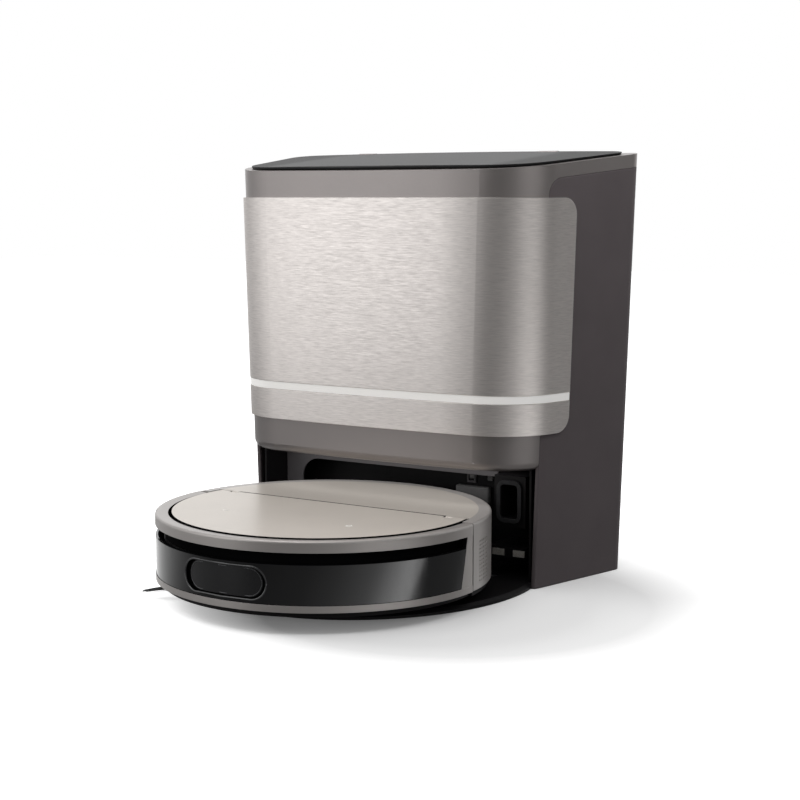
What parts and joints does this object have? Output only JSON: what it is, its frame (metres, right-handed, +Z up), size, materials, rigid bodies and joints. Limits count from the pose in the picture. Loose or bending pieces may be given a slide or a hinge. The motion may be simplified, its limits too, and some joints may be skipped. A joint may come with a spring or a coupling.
{
  "type": "robot vacuum with docking station",
  "caption": "Round robot vacuum cleaner with mops, standing half inside a tall docking station that charges, empties and washes it.",
  "frame": {"origin": "on the floor under the docked robot's centre, on the base tray's flat underside", "axes": "+Z up, -Y the way the robot drives out of the station, +X to its left as it drives out"},
  "size_m": [0.4546, 0.4531, 0.4619],
  "materials": {
    "charcoal_plastic": "fine satin moulding",
    "warm_grey_plastic": "fine satin moulding",
    "black_plastic": "fine satin moulding",
    "dark_grey_plastic": "fine satin moulding",
    "brushed_panel": "horizontal brushing",
    "light_diffuser": "frosted",
    "lid_plastic": "satin",
    "champagne_cover": "satin metallic",
    "silver_paint": "satin metallic",
    "smoked_window": "polished",
    "rubber": "matte",
    "tyre_rubber": "matte",
    "tank_plastic": "clear moulding",
    "smoked_tank": "clear moulding",
    "bag_fleece": "non-woven",
    "mop_fleece": "looped pile",
    "filter_paper": "pleated",
    "bristle_nylon": "fibres",
    "pin_steel": "polished",
    "contact_metal": "polished",
    "board_laminate": "lacquered",
    "battery_wrap": "shrink film",
    "white_plastic": "fine satin moulding"
  },
  "bodies": {
    "station": {"base_tray": "black_plastic", "wash_board": "dark_grey_plastic", "rubber_feet": "rubber", "rear_housing": "charcoal_plastic", "front_fascia": "warm_grey_plastic", "bay_liner": "black_plastic", "steel_panel": "brushed_panel", "light_bar": "light_diffuser", "lid_hinge_pins": "pin_steel", "tank_shelf": "dark_grey_plastic", "clean_tank": "tank_plastic", "dirty_tank": "smoked_tank", "tank_caps": "dark_grey_plastic", "dust_bag": "bag_fleece", "air_duct": "dark_grey_plastic", "fan_housing": "dark_grey_plastic", "water_pumps": "white_plastic", "power_board": "board_laminate", "mains_inlet": "black_plastic", "port_block": "dark_grey_plastic", "evac_seal": "rubber", "charge_contacts": "contact_metal"},
    "station_lid": {"top_lid": "lid_plastic"},
    "station_fan": {"fan_impeller": "white_plastic"},
    "robot": {"chassis": "black_plastic", "mid_deck": "black_plastic", "rear_shell": "silver_paint", "exhaust_grille": "silver_paint", "cover_hinge_pins": "pin_steel", "dust_box": "smoked_tank", "dust_filter": "filter_paper", "suction_housing": "dark_grey_plastic", "battery": "battery_wrap", "main_board": "board_laminate", "mop_gearbox": "dark_grey_plastic", "brush_guard": "dark_grey_plastic", "cliff_sensors": "smoked_window"},
    "robot_fan": {"suction_impeller": "white_plastic"},
    "robot_cover": {"front_cover": "champagne_cover"},
    "power_key": {"key_power": "champagne_cover"},
    "home_key": {"key_home": "champagne_cover"},
    "bumper": {"bumper_frame": "silver_paint", "bumper_window": "smoked_window", "sensor_lens": "smoked_window"},
    "lidar": {"lidar_head": "black_plastic"},
    "arm_left": {"wheel_arm_left": "dark_grey_plastic"},
    "arm_right": {"wheel_arm_right": "dark_grey_plastic"},
    "wheel_left": {"hub_left": "dark_grey_plastic", "tyre_left": "tyre_rubber"},
    "wheel_right": {"hub_right": "dark_grey_plastic", "tyre_right": "tyre_rubber"},
    "caster": {"caster_fork": "dark_grey_plastic"},
    "caster_roller": {"caster_wheel": "white_plastic"},
    "floor_brush": {"main_brush": "rubber"},
    "side_brush": {"side_brush_hub": "dark_grey_plastic", "side_brush_bristles": "bristle_nylon"},
    "mop_left": {"mop_plate_left": "dark_grey_plastic", "mop_pad_left": "mop_fleece"},
    "mop_right": {"mop_plate_right": "dark_grey_plastic", "mop_pad_right": "mop_fleece"}
  },
  "joints": [
    {"name": "robot_drive_out", "type": "slide", "parent": "station", "child": "robot", "axis": [0, -1, 0], "range_m": [0, 0.4]},
    {"name": "station_lid_hinge", "type": "hinge", "parent": "station", "child": "station_lid", "pos_m": [0, 0.26684, 0.45991], "axis": [-1, 0, 0], "range_deg": [0, 80]},
    {"name": "station_fan_spin", "type": "hinge", "parent": "station", "child": "station_fan", "pos_m": [-0.108, 0.165, 0.16], "axis": [0, 0, 1], "continuous": true},
    {"name": "robot_fan_spin", "type": "hinge", "parent": "robot", "child": "robot_fan", "pos_m": [0, 0.042, 0.035], "axis": [0, 0, 1], "continuous": true},
    {"name": "robot_cover_hinge", "type": "hinge", "parent": "robot", "child": "robot_cover", "pos_m": [0, 0.0257, 0.0885], "axis": [-1, 0, 0], "range_deg": [0, 75]},
    {"name": "power_key_press", "type": "slide", "parent": "robot_cover", "child": "power_key", "axis": [0, 0, -1], "range_m": [0, 0.0007], "stiffness_N_per_m": 300},
    {"name": "home_key_press", "type": "slide", "parent": "robot_cover", "child": "home_key", "axis": [0, 0, -1], "range_m": [0, 0.0007], "stiffness_N_per_m": 300},
    {"name": "bumper_press", "type": "slide", "parent": "robot", "child": "bumper", "axis": [0, 1, 0], "range_m": [0, 0.0025], "stiffness_N_per_m": 600},
    {"name": "lidar_spin", "type": "hinge", "parent": "robot", "child": "lidar", "pos_m": [0, -0.112, 0.0735], "axis": [0, 0, 1], "continuous": true},
    {"name": "arm_left_swing", "type": "hinge", "parent": "robot", "child": "arm_left", "pos_m": [-0.1025, 0.052, 0.0393], "axis": [-1, 0, 0], "range_deg": [0, 9], "stiffness_Nm_per_rad": 2},
    {"name": "arm_right_swing", "type": "hinge", "parent": "robot", "child": "arm_right", "pos_m": [0.1025, 0.052, 0.0393], "axis": [-1, 0, 0], "range_deg": [0, 9], "stiffness_Nm_per_rad": 2},
    {"name": "wheel_left_spin", "type": "hinge", "parent": "arm_left", "child": "wheel_left", "pos_m": [-0.123, 0, 0.0393], "axis": [1, 0, 0], "continuous": true},
    {"name": "wheel_right_spin", "type": "hinge", "parent": "arm_right", "child": "wheel_right", "pos_m": [0.123, 0, 0.0393], "axis": [1, 0, 0], "continuous": true},
    {"name": "caster_swivel", "type": "hinge", "parent": "robot", "child": "caster", "pos_m": [0, -0.128, 0.03], "axis": [0, 0, 1], "continuous": true},
    {"name": "caster_roll", "type": "hinge", "parent": "caster", "child": "caster_roller", "pos_m": [0, -0.123, 0.0163], "axis": [1, 0, 0], "continuous": true},
    {"name": "floor_brush_spin", "type": "hinge", "parent": "robot", "child": "floor_brush", "pos_m": [0, -0.04, 0.0263], "axis": [1, 0, 0], "continuous": true},
    {"name": "side_brush_spin", "type": "hinge", "parent": "robot", "child": "side_brush", "pos_m": [-0.09998, -0.09998, 0.014], "axis": [0, 0, 1], "continuous": true},
    {"name": "mop_left_spin", "type": "hinge", "parent": "robot", "child": "mop_left", "pos_m": [-0.066, 0.084, 0.012], "axis": [0, 0, 1], "continuous": true},
    {"name": "mop_right_spin", "type": "hinge", "parent": "robot", "child": "mop_right", "pos_m": [0.066, 0.084, 0.012], "axis": [0, 0, 1], "continuous": true}
  ],
  "couplings": [
    {"joint": "mop_left_spin", "follows": "mop_right_spin", "ratio": -1}
  ]
}
